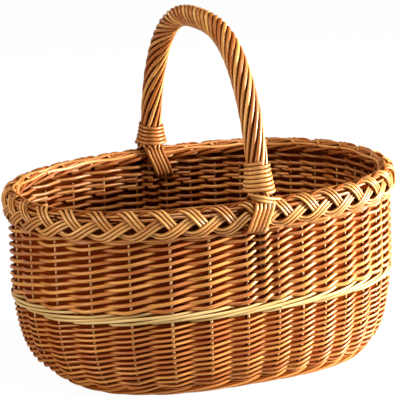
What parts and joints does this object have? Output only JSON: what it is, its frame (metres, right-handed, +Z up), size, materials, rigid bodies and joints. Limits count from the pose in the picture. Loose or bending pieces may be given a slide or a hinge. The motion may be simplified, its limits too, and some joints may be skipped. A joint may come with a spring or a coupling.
{
  "type": "mushroom foraging basket",
  "caption": "Oval woven willow basket with rounded ends, a pale band, a plaited rim and one tall roped bow handle.",
  "frame": {"origin": "on the ground under the middle of the basket", "axes": "+X along the basket's long side, +Y across it, in the plane of the handle, from the near leg to the far one, +Z up"},
  "size_m": [0.4336, 0.3176, 0.3823],
  "materials": {
    "siding": "peeled willow rods, golden to orange brown, satin, with dark shaded gaps",
    "stakes": "peeled willow uprights, orange brown, satin",
    "cream_band": "pale straw coloured willow rods, satin",
    "top_wale": "peeled willow rods, golden brown, satin",
    "foot_wale": "thicker peeled willow rods, golden brown, worn a little along the ground",
    "border": "plaited willow rods in groups, golden brown, satin, with pale highlights",
    "base_weave": "fine willow rods, darker brown, matt",
    "base_sticks": "split willow sticks, brown, matt",
    "bow": "thick willow stick with its bark shaved off, brown, matt",
    "rope": "long peeled willow rods, golden to orange brown, glossy along their crowns",
    "lashing": "fine willow rod, lighter golden, satin"
  },
  "bodies": {
    "root": {"base_stick_cross_1": "base_sticks", "base_stick_cross_2": "base_sticks", "base_stick_cross_3": "base_sticks", "base_stick_cross_4": "base_sticks", "base_stick_long_1": "base_sticks", "base_stick_long_2": "base_sticks", "base_stick_long_3": "base_sticks", "base_weave": "base_weave", "border_plait": "border", "cream_band": "cream_band", "foot_wale": "foot_wale", "handle_bow": "bow", "lashing_far": "lashing", "lashing_near": "lashing", "lower_siding": "siding", "rope_rod_01": "rope", "rope_rod_02": "rope", "rope_rod_03": "rope", "rope_rod_04": "rope", "rope_rod_05": "rope", "rope_rod_06": "rope", "rope_rod_07": "rope", "rope_rod_08": "rope", "rope_rod_09": "rope", "rope_rod_10": "rope", "stake_01": "stakes", "stake_02": "stakes", "stake_03": "stakes", "stake_04": "stakes", "stake_05": "stakes", "stake_06": "stakes", "stake_07": "stakes", "stake_08": "stakes", "stake_09": "stakes", "stake_10": "stakes", "stake_11": "stakes", "stake_12": "stakes", "stake_13": "stakes", "stake_14": "stakes", "stake_15": "stakes", "stake_16": "stakes", "stake_17": "stakes", "stake_18": "stakes", "stake_19": "stakes", "stake_20": "stakes", "stake_21": "stakes", "stake_22": "stakes", "stake_23": "stakes", "stake_24": "stakes", "stake_25": "stakes", "stake_26": "stakes", "stake_27": "stakes", "stake_28": "stakes", "stake_29": "stakes", "stake_30": "stakes", "stake_31": "stakes", "stake_32": "stakes", "stake_33": "stakes", "top_wale": "top_wale", "upper_siding": "siding"}
  },
  "joints": []
}
